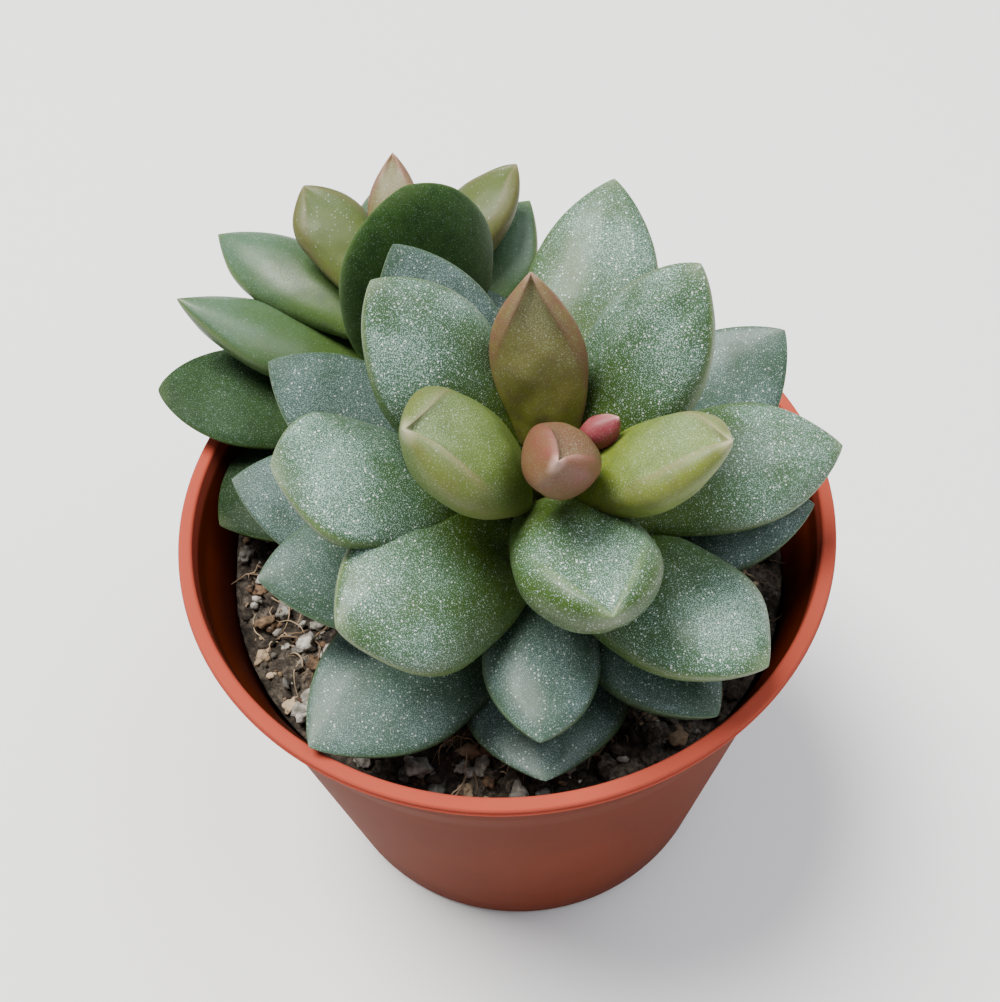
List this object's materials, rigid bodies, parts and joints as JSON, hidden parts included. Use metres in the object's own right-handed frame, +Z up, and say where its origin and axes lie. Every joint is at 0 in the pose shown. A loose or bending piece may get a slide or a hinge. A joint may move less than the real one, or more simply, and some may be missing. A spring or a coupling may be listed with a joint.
{
  "type": "potted succulent",
  "caption": "Plump pointed-leaf rosette succulent with a main and a smaller side rosette, growing in soil in a small round tapered nursery pot that stands on its flat base",
  "frame": {"origin": "middle of the pot's flat base, on the surface it stands on", "axes": "+Z up along the pot's axis; -Y is the front, toward which the main rosette leans; +X is the right-hand side seen from the front. The pot is round, so front is set by the plant"},
  "size_m": [0.0569, 0.0569, 0.0718],
  "materials": {
    "main_leaf_01": null,
    "main_leaf_02": null,
    "main_leaf_03": null,
    "main_leaf_04": null,
    "main_leaf_05": null,
    "main_leaf_06": null,
    "main_leaf_07": null,
    "main_leaf_08": null,
    "main_leaf_09": null,
    "main_leaf_10": null,
    "main_leaf_11": null,
    "main_leaf_12": null,
    "main_leaf_13": null,
    "main_leaf_14": null,
    "main_leaf_15": null,
    "main_leaf_16": null,
    "main_leaf_17": null,
    "main_leaf_18": null,
    "main_leaf_19": null,
    "main_leaf_20": null,
    "main_leaf_21": null,
    "main_leaf_22": null,
    "main_leaf_23": null,
    "main_leaf_24": null,
    "main_leaf_25": null,
    "main_leaf_26": null,
    "main_leaf_27": null,
    "main_stem": "short green-brown succulent stem",
    "pot": "thin terracotta-coloured moulded plastic, satin outside",
    "side_leaf_01": null,
    "side_leaf_02": null,
    "side_leaf_03": null,
    "side_leaf_04": null,
    "side_leaf_05": null,
    "side_leaf_06": null,
    "side_leaf_07": null,
    "side_leaf_08": null,
    "side_leaf_09": null,
    "side_leaf_10": null,
    "side_leaf_11": null,
    "side_leaf_12": null,
    "side_leaf_13": null,
    "side_leaf_14": null,
    "side_stem": "short green-brown succulent stem",
    "soil": null
  },
  "bodies": {
    "root": {"main_leaf_01": "main_leaf_01", "main_leaf_02": "main_leaf_02", "main_leaf_03": "main_leaf_03", "main_leaf_04": "main_leaf_04", "main_leaf_05": "main_leaf_05", "main_leaf_06": "main_leaf_06", "main_leaf_07": "main_leaf_07", "main_leaf_08": "main_leaf_08", "main_leaf_09": "main_leaf_09", "main_leaf_10": "main_leaf_10", "main_leaf_11": "main_leaf_11", "main_leaf_12": "main_leaf_12", "main_leaf_13": "main_leaf_13", "main_leaf_14": "main_leaf_14", "main_leaf_15": "main_leaf_15", "main_leaf_16": "main_leaf_16", "main_leaf_17": "main_leaf_17", "main_leaf_18": "main_leaf_18", "main_leaf_19": "main_leaf_19", "main_leaf_20": "main_leaf_20", "main_leaf_21": "main_leaf_21", "main_leaf_22": "main_leaf_22", "main_leaf_23": "main_leaf_23", "main_leaf_24": "main_leaf_24", "main_leaf_25": "main_leaf_25", "main_leaf_26": "main_leaf_26", "main_leaf_27": "main_leaf_27", "main_stem": "main_stem", "pot": "pot", "side_leaf_01": "side_leaf_01", "side_leaf_02": "side_leaf_02", "side_leaf_03": "side_leaf_03", "side_leaf_04": "side_leaf_04", "side_leaf_05": "side_leaf_05", "side_leaf_06": "side_leaf_06", "side_leaf_07": "side_leaf_07", "side_leaf_08": "side_leaf_08", "side_leaf_09": "side_leaf_09", "side_leaf_10": "side_leaf_10", "side_leaf_11": "side_leaf_11", "side_leaf_12": "side_leaf_12", "side_leaf_13": "side_leaf_13", "side_leaf_14": "side_leaf_14", "side_stem": "side_stem", "soil": "soil"}
  },
  "joints": []
}
